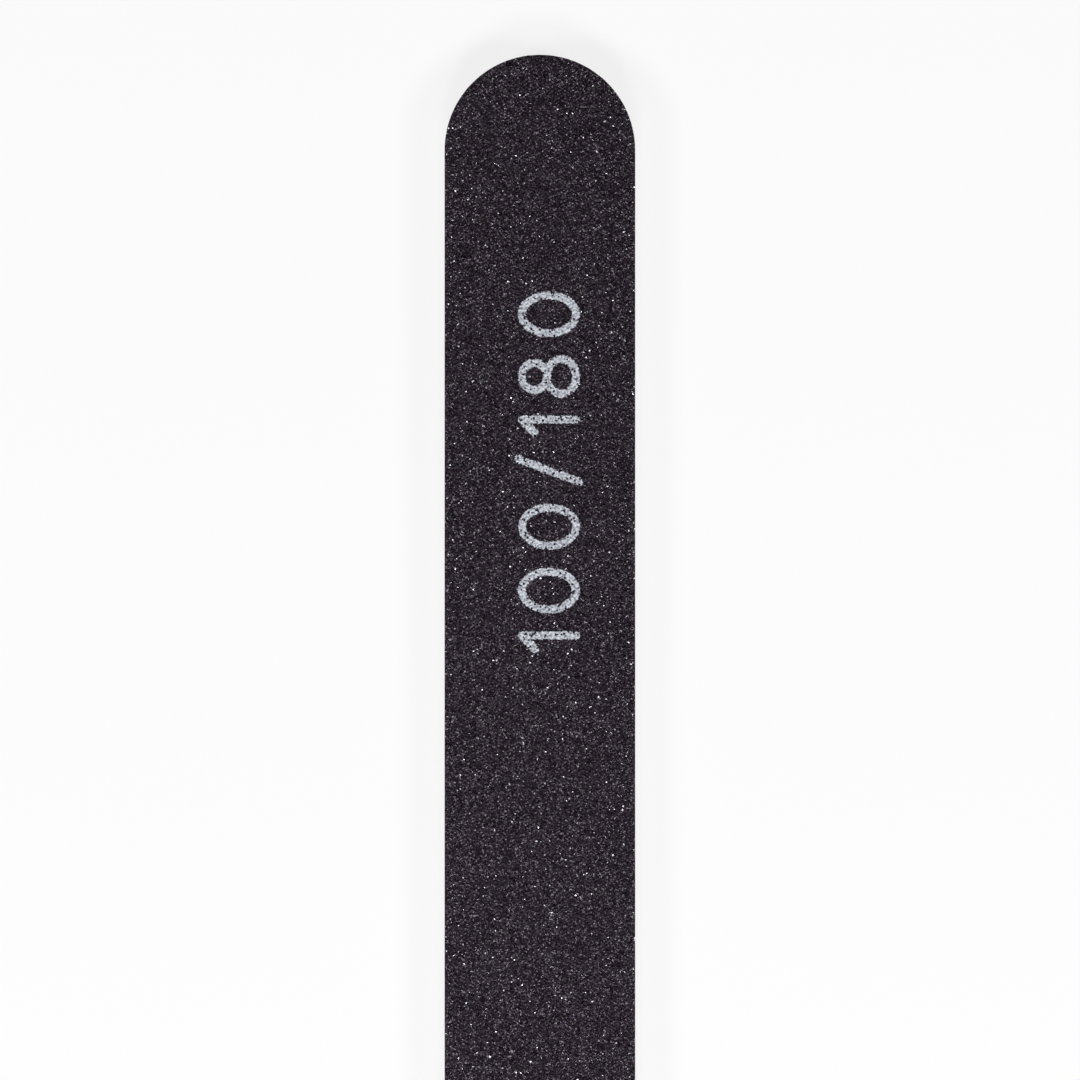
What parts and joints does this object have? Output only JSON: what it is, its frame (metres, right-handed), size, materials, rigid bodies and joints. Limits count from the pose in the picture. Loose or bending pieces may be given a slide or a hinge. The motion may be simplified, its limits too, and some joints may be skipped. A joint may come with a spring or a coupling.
{
  "type": "nail file",
  "caption": "Straight cushioned nail file with full-radius ends: black abrasive sheets on foam, either side of a stiff plastic core.",
  "frame": {"origin": "centre of the back filing face, on which the file lies", "axes": "+Z out of the front (coarse) face, +Y along the board towards the end that the picture shows, +X to the right of the front face"},
  "size_m": [0.019, 0.178, 0.0039],
  "materials": {
    "coarse_grain": "black silicon carbide grain, 100 grit, in dark resin",
    "fine_grain": "black silicon carbide grain, 180 grit, in dark resin",
    "make_resin": "cured dark resin",
    "backing_paper": "black latex-saturated paper, die-cut edge",
    "glue_film": "clear acrylic film",
    "cushion_foam": "closed-cell foam, cut edge",
    "core_plastic": "white polystyrene board, die-cut edge",
    "print_ink": "pale grey screen print, broken by the grain"
  },
  "bodies": {
    "root": {"core_board": "core_plastic", "front_core_glue_film": "glue_film", "front_foam_cushion": "cushion_foam", "front_face_glue_film": "glue_film", "front_backing_paper": "backing_paper", "front_make_coat": "make_resin", "front_grain_coat": "coarse_grain", "back_core_glue_film": "glue_film", "back_foam_cushion": "cushion_foam", "back_face_glue_film": "glue_film", "back_backing_paper": "backing_paper", "back_make_coat": "make_resin", "back_grain_coat": "fine_grain"}
  },
  "joints": []
}
